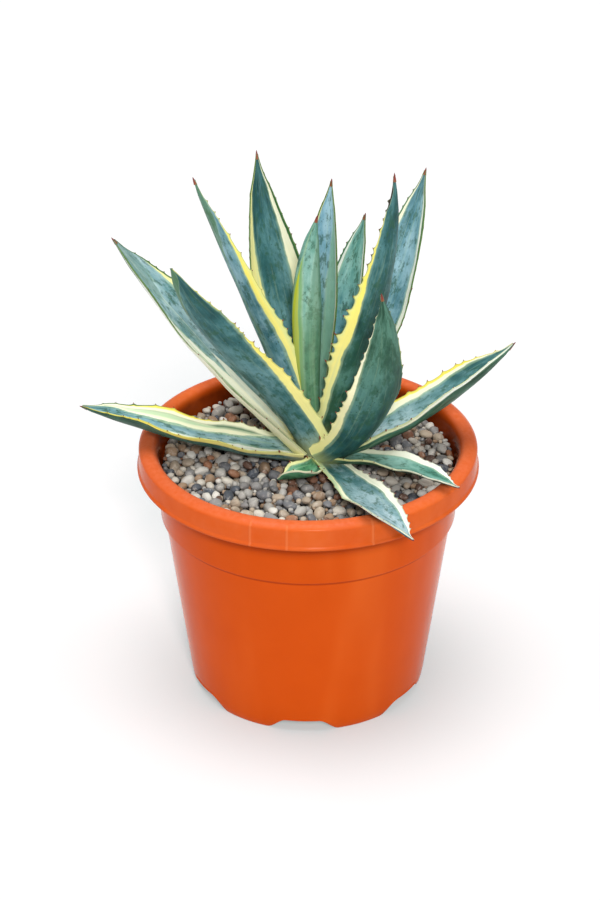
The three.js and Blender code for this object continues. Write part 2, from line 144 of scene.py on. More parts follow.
# --- shader building -------------------------------------------------------
class Shader:
    """One material's node tree, with short names for the nodes that this scene uses."""

    def __init__(self, name):
        self.material = bpy.data.materials.new(name)
        self.material.use_nodes = True
        self.tree = self.material.node_tree
        self.tree.nodes.clear()
        output = self.add("ShaderNodeOutputMaterial")
        self.surface = self.add("ShaderNodeBsdfPrincipled")
        self.tree.links.new(self.surface.outputs[0], output.inputs[0])

    def add(self, kind, **settings):
        node = self.tree.nodes.new(kind)
        for key, value in settings.items():
            setattr(node, key, value)
        return node

    def feed(self, socket, value):
        if isinstance(value, bpy.types.NodeSocket):
            self.tree.links.new(value, socket)
        elif value is not None:
            socket.default_value = value

    def set(self, **values):
        """Sets the surface's own sockets: base_color=..., roughness=... and so on."""
        for key, value in values.items():
            self.feed(self.surface.inputs[key.replace("_", " ").title().replace("Ior", "IOR")], value)

    def uv(self, name):
        return self.add("ShaderNodeUVMap", uv_map=name).outputs[0]

    def place(self):
        """Where the surface is on the part, in metres."""
        return self.add("ShaderNodeTexCoord").outputs["Object"]

    def parts(self, vector):
        node = self.add("ShaderNodeSeparateXYZ")
        self.feed(node.inputs[0], vector)
        return node.outputs

    def math(self, operation, first, second=0.0):
        node = self.add("ShaderNodeMath", operation=operation)
        self.feed(node.inputs[0], first)
        self.feed(node.inputs[1], second)
        return node.outputs[0]

    def times(self, first, second):
        return self.math("MULTIPLY", first, second)

    def inverse(self, value):
        """1 where the value is 0, and 0 where it is 1."""
        return self.math("SUBTRACT", 1.0, value)

    def stretch(self, vector, scale, shift=(0, 0, 0)):
        node = self.add("ShaderNodeMapping")
        self.feed(node.inputs["Vector"], vector)
        node.inputs["Location"].default_value = shift
        node.inputs["Scale"].default_value = scale
        return node.outputs[0]

    def noise(self, vector, scale, detail=3.0, roughness=0.5, distortion=0.0):
        node = self.add("ShaderNodeTexNoise")
        self.feed(node.inputs["Vector"], vector)
        node.inputs["Scale"].default_value = scale
        node.inputs["Detail"].default_value = detail
        node.inputs["Roughness"].default_value = roughness
        node.inputs["Distortion"].default_value = distortion
        return node.outputs["Fac"]

    def cells(self, vector, scale):
        """Distance to the nearest of a field of random points."""
        node = self.add("ShaderNodeTexVoronoi")
        self.feed(node.inputs["Vector"], vector)
        node.inputs["Scale"].default_value = scale
        return node.outputs["Distance"]

    def ramp(self, factor, stops, interpolation="LINEAR"):
        """stops is [(position, value or colour)]."""
        node = self.add("ShaderNodeValToRGB")
        self.feed(node.inputs[0], factor)
        node.color_ramp.interpolation = interpolation
        elements = node.color_ramp.elements
        while len(elements) < len(stops):
            elements.new(0.5)
        for element, (position, value) in zip(elements, stops):
            element.position = position
            element.color = value if isinstance(value, tuple) else (value, value, value, 1.0)
        return node.outputs[0]

    def between(self, value, low, high):
        """0 below low, 1 above high, and smooth between them."""
        node = self.add("ShaderNodeMapRange", interpolation_type="SMOOTHSTEP")
        self.feed(node.inputs["Value"], value)
        self.feed(node.inputs["From Min"], low)
        self.feed(node.inputs["From Max"], high)
        return node.outputs["Result"]

    def scaled(self, value, low, high):
        """A 0 to 1 value moved to the range from low to high."""
        node = self.add("ShaderNodeMapRange")
        self.feed(node.inputs["Value"], value)
        node.inputs["To Min"].default_value = low
        node.inputs["To Max"].default_value = high
        return node.outputs["Result"]

    def mix(self, factor, first, second):
        node = self.add("ShaderNodeMix", data_type="RGBA")
        self.feed(node.inputs["Factor"], factor)
        self.feed(node.inputs[6], first)
        self.feed(node.inputs[7], second)
        return node.outputs[2]

    def bump(self, height, depth_mm, normal=None):
        node = self.add("ShaderNodeBump")
        self.feed(node.inputs["Height"], height)
        node.inputs["Strength"].default_value = 1.0
        node.inputs["Distance"].default_value = depth_mm * MM
        self.feed(node.inputs["Normal"], normal)
        return node.outputs[0]


# --- lathe work for the pot ------------------------------------------------
def rounded(corners, steps=3):
    """[radius, z, cut] corners as a smooth outline: each corner is rounded from cut mm before it."""
    outline = []
    for i, (radius, z, cut) in enumerate(corners):
        here = np.array([radius, z], float)
        if cut == 0 or i in (0, len(corners) - 1):
            outline.append(here)
            continue
        before = np.array(corners[i - 1][:2], float) - here
        after = np.array(corners[i + 1][:2], float) - here
        start = here + before * min(cut / np.linalg.norm(before), 0.48)
        end = here + after * min(cut / np.linalg.norm(after), 0.48)
        for k in range(steps + 1):
            share = k / steps
            outline.append((1 - share) ** 2 * start + 2 * share * (1 - share) * here + share**2 * end)
    return np.array(outline)


POT_SEGMENTS = 400
FOOT_RADIUS = 84.2
HEEL_RADIUS = 87.0
HEEL_Z = 10.0
CREASE_RADIUS = 105.2
CREASE_Z = 138.0
COLLAR_LOW = 108.2
COLLAR_HIGH = 109.8
COLLAR_Z = 140.3
LIP_RADIUS = 124.85
LIP_TOP = 123.6
LIP_BOTTOM = 177.0
RIM_Z = 197.0
FLOOR_Z = 12.5
HUB_RADIUS = 20
SHARP_EDGE = 38

# [radius, z, cut] from the axis under the floor, up the outside, over the lip and down the inside.
POT_CORNERS = [
    [0, 0, 0],
    [HUB_RADIUS, 0, 0.8],
    [HUB_RADIUS + 2, HEEL_Z, 1.2],
    [FOOT_RADIUS - 1.2, HEEL_Z, 0.6],
    [FOOT_RADIUS - 2.4, 0, 0.5],
    [FOOT_RADIUS, 0, 0.5],
    [FOOT_RADIUS + 1.7, 4, 2],
    [HEEL_RADIUS, HEEL_Z, 3],
    [CREASE_RADIUS, CREASE_Z, 0.6],
    [CREASE_RADIUS + 0.8, CREASE_Z + 1.5, 0.4],
    [COLLAR_LOW, COLLAR_Z, 0.6],
    [COLLAR_HIGH, LIP_BOTTOM - 1, 2],
    [COLLAR_HIGH + 1.2, RIM_Z - 4, 1.5],
    [COLLAR_HIGH + 3, RIM_Z - 2.8, 1.2],
    [LIP_TOP - 2.2, RIM_Z - 2.8, 2],
    [LIP_RADIUS - 2.4, LIP_BOTTOM, 0.8],
    [LIP_RADIUS, LIP_BOTTOM, 0.9],
    [LIP_RADIUS + 0.1, LIP_BOTTOM + 1.9, 0.9],
    [LIP_RADIUS - 1.1, LIP_BOTTOM + 3.2, 1.2],
    [LIP_TOP, RIM_Z - 3.6, 1.2],
    [LIP_TOP - 3.2, RIM_Z - 1.0, 1.8],
    [COLLAR_HIGH + 5.9, RIM_Z, 3],
    [COLLAR_HIGH + 2.6, RIM_Z - 1.2, 2.5],
    [COLLAR_HIGH - 0.4, RIM_Z - 6, 4],
    [COLLAR_HIGH - 2.6, LIP_BOTTOM, 3],
    [COLLAR_LOW - 2.6, CREASE_Z + 5, 2],
    [CREASE_RADIUS - 2.2, CREASE_Z, 2],
    [HEEL_RADIUS - 2.2, FLOOR_Z + 2, 1],
    [HEEL_RADIUS - 4, FLOOR_Z, 1],
    [0, FLOOR_Z, 0],
]

NOTCH_COUNT = 6
NOTCH_FIRST = -92.7
NOTCH_HALF = 26.5
NOTCH_SLOPE = 15.0
NOTCH_HEIGHT = 9.6
NOTCH_FLARE = 0.3
FOOT_FROM = 60
OUTSIDE_SHARE = 0.6

DRAIN_COUNT = 6
DRAIN_RADIUS = 5
DRAIN_CIRCLE = 46
DRILL_LENGTH = 10

# Faint moulding lines down the lip, in degrees from the front; the far side has them too.
LIP_SEAMS = [-19.5, -7.1, 21.7]


def notch_height(angle, radius):
    """How high the arch through the foot ring stands at this place, in mm."""
    step = 360 / NOTCH_COUNT
    off = (np.degrees(angle) - NOTCH_FIRST + step / 2) % step - step / 2
    across = np.abs(radius * np.sin(np.radians(off)))
    return NOTCH_HEIGHT * smoothstep(NOTCH_HALF - across, 0, NOTCH_SLOPE)


def make_pot(material):
    outline = rounded(POT_CORNERS)
    angle = np.arange(POT_SEGMENTS) * 2 * math.pi / POT_SEGMENTS
    radius = np.repeat(outline[:, :1], POT_SEGMENTS, axis=1)
    z = np.repeat(outline[:, 1:], POT_SEGMENTS, axis=1)
    # The outside comes first in the outline, so its later rows are never the foot.
    under = (np.arange(len(outline)) < len(outline) * OUTSIDE_SHARE)[:, None]
    foot = (radius > FOOT_FROM) & (z < HEEL_Z) & under
    lift = notch_height(angle[None, :], radius) * (1 - z / HEEL_Z)
    outside = radius > FOOT_RADIUS - 1
    z = z + np.where(foot, lift, 0)
    radius = radius + np.where(foot & outside, lift * NOTCH_FLARE, 0)
    points = np.stack([radius * np.cos(angle), radius * np.sin(angle), z], axis=-1).reshape(-1, 3)
    quads = ring_quads(len(outline), POT_SEGMENTS)
    # The first and last rows lie on the axis: each is one point.
    last = (len(outline) - 1) * POT_SEGMENTS
    quads = np.where(quads < POT_SEGMENTS, 0, quads)
    quads = np.where(quads >= last, last, quads)
    piece = mesh_piece("pot_shell", points, [(without_repeats(quads), 0)], [material])
    cleaned = bmesh.new()
    cleaned.from_mesh(piece.data)
    loose = [v for v in cleaned.verts if not v.link_faces]
    bmesh.ops.delete(cleaned, geom=loose, context="VERTS")
    bmesh.ops.recalc_face_normals(cleaned, faces=cleaned.faces)
    cleaned.to_mesh(piece.data)
    cleaned.free()
    drill_floor(piece)
    piece.data.set_sharp_from_angle(angle=math.radians(SHARP_EDGE))
    return piece


def drill_floor(piece):
    """Cuts the drain holes through the pot's floor."""
    drill = bmesh.new()
    hole = DRAIN_RADIUS * MM
    circle = DRAIN_CIRCLE * MM
    for i in range(DRAIN_COUNT):
        turn = math.radians(360 / DRAIN_COUNT * i)
        made = bmesh.ops.create_cone(
            drill, cap_ends=True, segments=32, radius1=hole, radius2=hole, depth=DRILL_LENGTH * MM
        )
        offset = Vector((circle * math.cos(turn), circle * math.sin(turn), (FLOOR_Z - 1) * MM))
        bmesh.ops.translate(drill, verts=made["verts"], vec=offset)
    mesh = bpy.data.meshes.new("drill")
    drill.to_mesh(mesh)
    drill.free()
    cutter = bpy.data.objects.new("drill", mesh)
    SCENE.collection.objects.link(cutter)
    cut = piece.modifiers.new("drain", "BOOLEAN")
    cut.operation = "DIFFERENCE"
    cut.solver = "EXACT"
    cut.object = cutter
    bpy.context.view_layer.update()
    shown = piece.evaluated_get(bpy.context.evaluated_depsgraph_get())
    drilled = bpy.data.meshes.new_from_object(shown)
    piece.modifiers.clear()
    piece.data = drilled
    bpy.data.objects.remove(cutter)


def lip_seams(s, x, y, out):
    """1 along the moulding lines of the lip and 0 elsewhere."""
    turn = s.times(s.math("ARCTAN2", x, s.times(y, -1.0)), 180 / math.pi)
    turn = s.math("FLOORED_MODULO", turn, 180.0)
    lines = 0.0
    for degrees in LIP_SEAMS:
        off = s.math("ABSOLUTE", s.math("SUBTRACT", turn, degrees % 180))
        lines = s.math("ADD", lines, s.inverse(s.between(off, 0.2, 0.6)))
    return s.times(lines, s.between(out, 119.5 * MM, 121 * MM))


def pot_material():
    """Satin moulded plastic: slight mottling, soft waves in the gloss, painted highlights and reflection
    streaks, and painted shade.
    """
    s = Shader("pot_plastic")
    place = s.place()
    x, y, height = s.parts(place)
    out = s.math("SQRT", s.math("ADD", s.times(x, x), s.times(y, y)))
    mottle = s.noise(place, 30, detail=4)
    base = s.mix(mottle, colour(204, 76, 10), colour(214, 84, 14))
    # The top of the rim is paler: a painted highlight, broken up by noise like scuffs.
    rim_sheen_and_scuffs = s.times(s.between(height, 0.1925, 0.1965), s.scaled(s.noise(place, 260), 0.05, 0.5))
    base = s.mix(rim_sheen_and_scuffs, base, colour(238, 144, 106))
    # Lighter vertical streaks down the wall: partly flow lines in the plastic, partly painted reflection
    # streaks.
    flow_and_sheen = s.between(s.noise(s.stretch(place, (1, 1, 0.05)), 26, detail=2), 0.45, 0.75)
    base = s.mix(s.times(flow_and_sheen, 0.35), base, colour(232, 112, 44))
    # The lip's outer face is lighter in patches: a painted highlight.
    lip_face = s.times(s.between(out, 0.1205, 0.1225), s.between(height, 0.176, 0.1775))
    lip_face_highlight = s.times(lip_face, s.scaled(s.noise(place, 90, detail=4), 0.0, 0.2))
    base = s.mix(lip_face_highlight, base, colour(240, 150, 104))
    # The inner wall just above the gravel is darker: painted shade under the rim, broken up by noise.
    inner_shade_noise = s.scaled(s.noise(place, 60, detail=4), 0.4, 1.0)
    within = s.inverse(s.between(out, 0.1115, 0.1145))
    near_gravel = s.inverse(s.between(height, 0.189, 0.1965))
    above_floor = s.between(height, 0.176, 0.179)
    inner_wall_shade = s.times(s.times(within, near_gravel), above_floor)
    base = s.mix(s.times(inner_wall_shade, inner_shade_noise), base, colour(58, 20, 8))
    # Painted shade on the collar under the lip, and a painted dark line of shade in the crease below it.
    under_lip_shade = s.times(s.between(height, 0.158, 0.169), s.inverse(above_floor))
    under_lip_shade = s.times(under_lip_shade, s.between(out, 0.1082, 0.109))
    crease_shade = s.math("ABSOLUTE", s.math("SUBTRACT", height, (CREASE_Z + 0.4) * MM))
    crease_shade = s.inverse(s.between(crease_shade, 0.8 * MM, 1.8 * MM))
    shade = s.math("MAXIMUM", s.times(under_lip_shade, 0.5), s.times(crease_shade, 0.6))
    base = s.mix(shade, base, colour(150, 44, 4))
    seams = lip_seams(s, x, y, out)
    # Thin pale lines along the moulding seams: painted highlights where the seams catch the light; the bump
    # below gives them a little real relief.
    base = s.mix(s.times(seams, 0.2), base, colour(246, 150, 96))
    s.set(base_color=base, ior=1.5, specular_ior_level=0.05)
    s.set(roughness=s.scaled(s.noise(place, 45, detail=3), 0.15, 0.22))
    waves = s.bump(s.noise(s.stretch(place, (1, 1, 0.12)), 22, detail=1), 0.3)
    seamed = s.bump(seams, 0.2, waves)
    s.set(normal=s.bump(s.noise(place, 700, detail=2), 0.01, seamed))
    return s.material


# --- gravel ----------------------------------------------------------------
BED_Z = 177.2
TOP_Z = 184.6
UNDER_TOP = 180.4
GRAVEL_RADIUS = 106.8
GRAVEL_SEED = 480
TOP_STONES = 1800
UNDER_STONES = 1400
COARSE_FROM = 3.0
SKIRT_Z = 168.4
SKIRT_SHARE = 0.975
CROWN = (7.0, -1.0)

# Pebble colours in sRGB with how common each is away from the crown and close to it.
PEBBLES = [
    ((178, 174, 167), 18, 8),
    ((146, 143, 141), 16, 9),
    ((114, 115, 119), 10, 9),
    ((80, 86, 96), 6, 6),
    ((212, 204, 190), 15, 5),
    ((230, 225, 215), 8, 2),
    ((186, 168, 146), 13, 8),
    ((168, 138, 110), 9, 12),
    ((164, 112, 80), 5, 14),
    ((132, 88, 64), 3, 14),
    ((98, 70, 56), 3, 12),
]


# The largest stones sit where the part's own gravel has its crests.
CREST_PITCH = 13.0
CREST_REACH = 10
CREST_SHIFT = 2.8
CREST_Z = 184.4
CREST_VARY = 2.6


def cell_draw(i, j, kind):
    """The part's repeatable draw between 0 and 1 for one crest."""
    wild = math.sin(12.9898 * i + 78.233 * j + 37.719 * kind) * 43758.5453
    return wild - math.floor(wild)


def crest_stones(rng):
    """[x, y, radius, top] of one large stone at each crest inside the pot's mouth."""
    placed = []
    for i in range(-CREST_REACH, CREST_REACH + 1):
        for j in range(-CREST_REACH, CREST_REACH + 1):
            x = CREST_PITCH * (i + j / 2) + CREST_SHIFT * (2 * cell_draw(i, j, 1) - 1)
            y = CREST_PITCH * j * math.sqrt(0.75) + CREST_SHIFT * (2 * cell_draw(i, j, 2) - 1)
            radius = rng.uniform(3.2, 5.6)
            if math.hypot(x, y) < GRAVEL_RADIUS - radius:
                placed.append([x, y, radius, CREST_Z + CREST_VARY * cell_draw(i, j, 3)])
    return np.array(placed)


def scatter(rng, placed, radii, closeness, top):
    """Adds stones of these radii, the largest first, where there is room beside those placed."""
    for radius in sorted(radii, reverse=True):
        for _ in range(40):
            reach = (GRAVEL_RADIUS - 0.92 * radius) * math.sqrt(rng.random())
            turn = rng.random() * 2 * math.pi
            x, y = reach * math.cos(turn), reach * math.sin(turn)
            far = np.hypot(placed[:, 0] - x, placed[:, 1] - y)
            if np.all(far > closeness * (placed[:, 2] + radius)):
                sunk = 0.8 * max(3.2 - radius, 0)
                placed = np.vstack([placed, [x, y, radius, top - sunk + rng.uniform(-1.2, 0.9)]])
                break
    return placed


def pebble(rng, ball, radius):
    """A rounded stone: a ball with random facets pressed into it, then flattened and turned."""
    points = ball.copy()
    for _ in range(5):
        direction = unit(rng.normal(size=3))
        beyond = np.maximum(points @ direction - rng.uniform(0.6, 0.9), 0)
        points -= 0.6 * beyond[:, None] * direction
    phase = rng.uniform(0, 6.28, 3)
    points *= 1 + 0.045 * np.sin(3.1 * points[:, [1]] + phase[0]) * np.sin(2.7 * points[:, [2]] + phase[1])
    points *= np.array([rng.uniform(0.9, 1.3), rng.uniform(0.75, 0.98), rng.uniform(0.6, 0.9)]) * radius
    turn, tilt = rng.uniform(0, 2 * math.pi), rng.normal(0, 0.3)
    about_y = np.array([
        [math.cos(tilt), 0, math.sin(tilt)], [0, 1, 0], [-math.sin(tilt), 0, math.cos(tilt)]
    ])
    about_z = np.array([
        [math.cos(turn), -math.sin(turn), 0], [math.sin(turn), math.cos(turn), 0], [0, 0, 1]
    ])
    return points @ about_y.T @ about_z.T


def unit_ball(subdivisions):
    made = bmesh.new()
    bmesh.ops.create_icosphere(made, subdivisions=subdivisions, radius=1.0)
    points = np.array([v.co[:] for v in made.verts])
    faces = np.array([[v.index for v in f.verts] for f in made.faces])
    made.free()
    return points, faces


def stones(name, rng, places, ball, material):
    """One piece of many pebbles at these places, each with its own shape and colour."""
    ball_points, ball_faces = ball
    away = np.array([share for _, share, _ in PEBBLES], float)
    close = np.array([share for _, _, share in PEBBLES], float)
    points, faces, tints = [], [], []
    for i, (x, y, radius, top) in enumerate(places):
        stone = pebble(rng, ball_points, radius)
        points.append(stone + np.array([x, y, top - stone[:, 2].max()]))
        faces.append(ball_faces + i * len(ball_points))
        near = 1 - smoothstep(math.hypot(x - CROWN[0], y - CROWN[1]), 25, 60)
        shares = away * (1 - near) + close * near
        kind = rng.choice(len(PEBBLES), p=shares / shares.sum())
        tint = [(kind + 0.5) / len(PEBBLES), rng.random()]
        tints.append(np.tile(tint, (len(ball_points), 1)))
    piece = mesh_piece(
        name, np.vstack(points), [(np.vstack(faces), 0)], [material], {"tint": np.vstack(tints)}
    )
    return piece


def pebble_material():
    """River gravel: each stone has its own colour, with grain, speckles and a dusty skin."""
    s = Shader("pebbles")
    tint = s.parts(s.uv("tint"))
    count = len(PEBBLES)
    stops = [(i / count, colour(*shade)) for i, (shade, _, _) in enumerate(PEBBLES)]
    base = s.ramp(tint[0], stops, "CONSTANT")
    place = s.place()
    base = s.mix(s.scaled(tint[1], 0.0, 0.3), base, colour(60, 52, 46))
    veins = s.noise(place, 300, detail=5, roughness=0.65, distortion=0.6)
    base = s.mix(s.times(s.between(veins, 0.5, 0.75), 0.5), base, colour(226, 218, 206))
    speckle = s.between(s.cells(place, 1500), 0.12, 0.3)
    base = s.mix(s.times(s.inverse(speckle), 0.2), base, colour(60, 50, 44))
    s.set(base_color=base, roughness=s.scaled(s.noise(place, 500), 0.5, 0.8))
    s.set(normal=s.bump(s.noise(place, 900, detail=4, roughness=0.6), 0.25))
    return s.material


def grit_and_gap_shade_material():
    """The grit between the stones, darkened to near black as painted shade in the gaps."""
    s = Shader("grit")
    place = s.place()
    grain = s.cells(place, 700)
    base = s.ramp(grain, [(0.0, colour(64, 52, 42)), (0.5, colour(34, 26, 20)), (1.0, colour(18, 14, 10))])
    s.set(base_color=base, roughness=0.95, normal=s.bump(grain, 0.8))
    return s.material


def make_bed(material):
    """A lumpy layer of grit under the pebbles, from the potting mix up."""
    rings, segments = 50, 160
    radius = np.linspace(0, GRAVEL_RADIUS - 0.6, rings)[:, None]
    angle = (np.arange(segments) * 2 * math.pi / segments)[None, :]
    x = radius * np.cos(angle)
    y = radius * np.sin(angle)
    z = BED_Z + 0.7 * np.sin(x / 1.9 + np.sin(y / 3)) * np.sin(y / 2.1)
    points = np.stack([x, y, z], axis=-1).reshape(-1, 3)
    quads = ring_quads(rings, segments)[:, [0, 3, 2, 1]]
    faces = without_repeats(np.where(quads < segments, 0, quads))
    # A skirt down to the potting mix closes the layer.
    rim = (rings - 1) * segments
    low = len(points)
    skirt = points[rim:].copy()
    skirt[:, :2] *= SKIRT_SHARE
    skirt[:, 2] = SKIRT_Z
    points = np.vstack([points, skirt])
    ring = np.arange(segments)
    after = (ring + 1) % segments
    faces += np.stack([rim + ring, low + ring, low + after, rim + after], axis=-1).tolist()
    faces.append((low + ring[::-1]).tolist())
    return mesh_piece("gravel_bed", points, [(faces, 0)], [material])


def make_gravel():
    """The bed and its stones; fewer stones find room than are tried."""
    rng = np.random.default_rng(GRAVEL_SEED)
    material = pebble_material()
    crests = crest_stones(rng)
    top = scatter(rng, crests, 1.5 + 2.7 * rng.random(TOP_STONES) ** 1.8, 0.93, TOP_Z)
    none = np.empty((0, 4))
    under = scatter(rng, none, 1.9 + 1.6 * rng.random(UNDER_STONES), 0.9, UNDER_TOP)
    fine, coarse = unit_ball(2), unit_ball(3)
    large = top[:, 2] > COARSE_FROM
    settle(make_bed(grit_and_gap_shade_material()), "gravel", "gravel")
    settle(stones("gravel_coarse", rng, top[large], coarse, material), "gravel", "gravel")
    settle(stones("gravel_fine", rng, top[~large], fine, material), "gravel", "gravel")
    settle(stones("gravel_under", rng, under, fine, material), "gravel", "gravel")


# --- leaves ----------------------------------------------------------------
# Shapes as in the part: path in mm from base to tip, the azimuths that the outer face looks
# towards, widest width, neck and belly as shares, half angles of the gutter, edge ripple, and how
# blunt the taper is.
LEAVES = {
    "leaf_bud_front": ([[2.5, -4, 206], [-2.5, -7, 272], [-1.8, -5, 328], [6.7, -1, 381]],
                       [255, 255], 35, 0.5, 0.5, [115, 110, 80], 0, 1.5),
    "leaf_bud_back": ([[7, 3, 206], [8, 8, 272], [11.3, 14, 337], [16.6, 20, 399]],
                      [75, 75], 35, 0.3, 0.5, [80, 70, 60], 0, 1.6),
    "leaf_back_small": ([[11, 7, 198], [19.5, 22, 257], [30.5, 38, 310], [41.2, 50, 357]],
                        [60, 60], 39, 0.7, 0.35, [60, 42, 50], 0.6, 1.7),
    "leaf_back_tall": ([[1, 7, 198], [-12, 28, 260], [-27.5, 52, 324], [-37.3, 80, 393]],
                       [105, 105], 50, 0.65, 0.45, [60, 45, 60], 0.8, 1.7),
    "leaf_left_upright": ([[1, -4, 198], [-23, 2, 262], [-53.5, 12, 332], [-82, 25, 398]],
                          [240, 232], 38, 0.7, 0.38, [70, 55, 50], 0.5, 1.4),
    "leaf_right_upright": ([[12, -7, 198], [33, -10, 264], [53.3, -5, 335], [60.5, 5, 411]],
                           [285, 290], 36, 0.6, 0.4, [70, 50, 55], 0.5, 1.5),
    "leaf_back_right": ([[14, 4, 196], [44, 26, 258], [68, 52, 320], [85.4, 80, 379]],
                        [62, 62], 44, 0.7, 0.45, [60, 42, 55], 0.8, 1.7),
    "leaf_left_front": ([[3, -11, 194], [-29, -22, 252], [-65, -36, 302], [-96.4, -45, 361]],
                        [245, 262], 42, 0.85, 0.33, [60, 36, 40], 0.8, 2.1),
    "leaf_right_front": ([[12, -13, 190], [41, -38, 232], [53.2, -54, 290], [50.8, -58, 348]],
                         [285, 285], 44, 0.8, 0.45, [60, 38, 45], 1, 1.25),
    "leaf_left_mid": ([[-3, 2, 190], [-56, 18, 241.5], [-100.5, 38, 286.5], [-142.5, 55, 335]],
                      [160, 150], 61, 0.75, 0.35, [60, 45, 60], 1, 1.7),
    "leaf_right_long": ([[16, -3, 188], [58, -4, 206], [104, 0, 234], [149.5, 5, 276]],
                        [3, -10], 52, 0.45, 0.55, [60, 52, 65], 1, 2.0),
    "leaf_left_low": ([[-3, -4, 188], [-56, -3, 195], [-112, -2, 209], [-166, 0, 226]],
                      [182, 191], 45, 0.8, 0.45, [50, 45, 60], 1.6, 3.0),
    "leaf_right_low": ([[17, -10, 187], [55, -35, 199], [83, -58, 203], [108.3, -78, 202]],
                       [318, 312], 30, 0.8, 0.45, [40, 30, 50], 1, 1.7),
    "leaf_front_low": ([[12, -12, 187], [33, -60, 193], [52, -110, 201], [74, -148, 200]],
                       [290, 280], 36, 0.6, 0.5, [35, 20, 50], 1, 1.7),
    "leaf_front_short": ([[7, -14, 187.5], [-1, -34, 190], [-12, -42, 190.8], [-22.5, -43.5, 189.5]],
                         [222, 222], 27, 0.5, 0.6, [55, 60, 50], 0, 1.7),
    "leaf_rear_high": ([[7, 9, 192], [8, 30, 226], [10, 52, 258], [12, 74, 286]],
                       [90, 90], 38, 0.75, 0.4, [60, 40, 55], 0.6, 1.7),
    "leaf_rear_low": ([[7, 9, 187], [10, 46, 198], [12, 86, 206], [13, 122, 213]],
                      [88, 88], 40, 0.7, 0.45, [50, 36, 55], 1, 1.7),
    "leaf_rear_right": ([[15, 7, 187], [32, 38, 197], [49, 70, 204], [64, 100, 204]],
                        [62, 62], 36, 0.7, 0.45, [50, 36, 55], 1, 1.7),
    "leaf_rear_left": ([[0, 7, 187], [-22, 36, 198], [-42, 66, 208], [-60, 95, 215]],
                       [124, 124], 38, 0.7, 0.45, [50, 36, 55], 1, 1.7),
}

ACROSS = np.array([0, 0.14, 0.28, 0.42, 0.55, 0.67, 0.77, 0.85, 0.91, 0.96, 1.0])
ACROSS = np.concatenate([-ACROSS[:0:-1], ACROSS])
BLADE_END = 0.987
BLUNT_END = 0.998
BLUNTER = 1.5
SPINE_LENGTH = 6.5
SPINE_HALF = 1.2
STEP = 1.1

# Teeth, in mm or as shares of their height: how far apart, how tall, how deep their root sits, how
# far they hook towards the tip, how wide half of one is, and how flat it is.
TOOTH_PITCH = 12.0
TOOTH_HEIGHT = 1.7
TOOTH_ROOT = 0.9
TOOTH_HOOK = 0.45
TOOTH_HALF = 1.05
TOOTH_FLATNESS = 0.55

# How far the humps under the teeth stand out, as a share of the usual; one leaf has lost its spine.
HUMPS = {
    "leaf_right_upright": 2.6,
    "leaf_left_front": 1.25,
    "leaf_right_front": 1.2,
    "leaf_left_upright": 1.0,
    "leaf_front_low": 1.0,
    "leaf_right_long": 0.9,
    "leaf_left_low": 0.8,
    "leaf_bud_front": 0.35,
    "leaf_bud_back": 0.35,
}
USUAL_HUMP = 0.6
SPINELESS = "leaf_left_front"
FIRST_SEED = 31


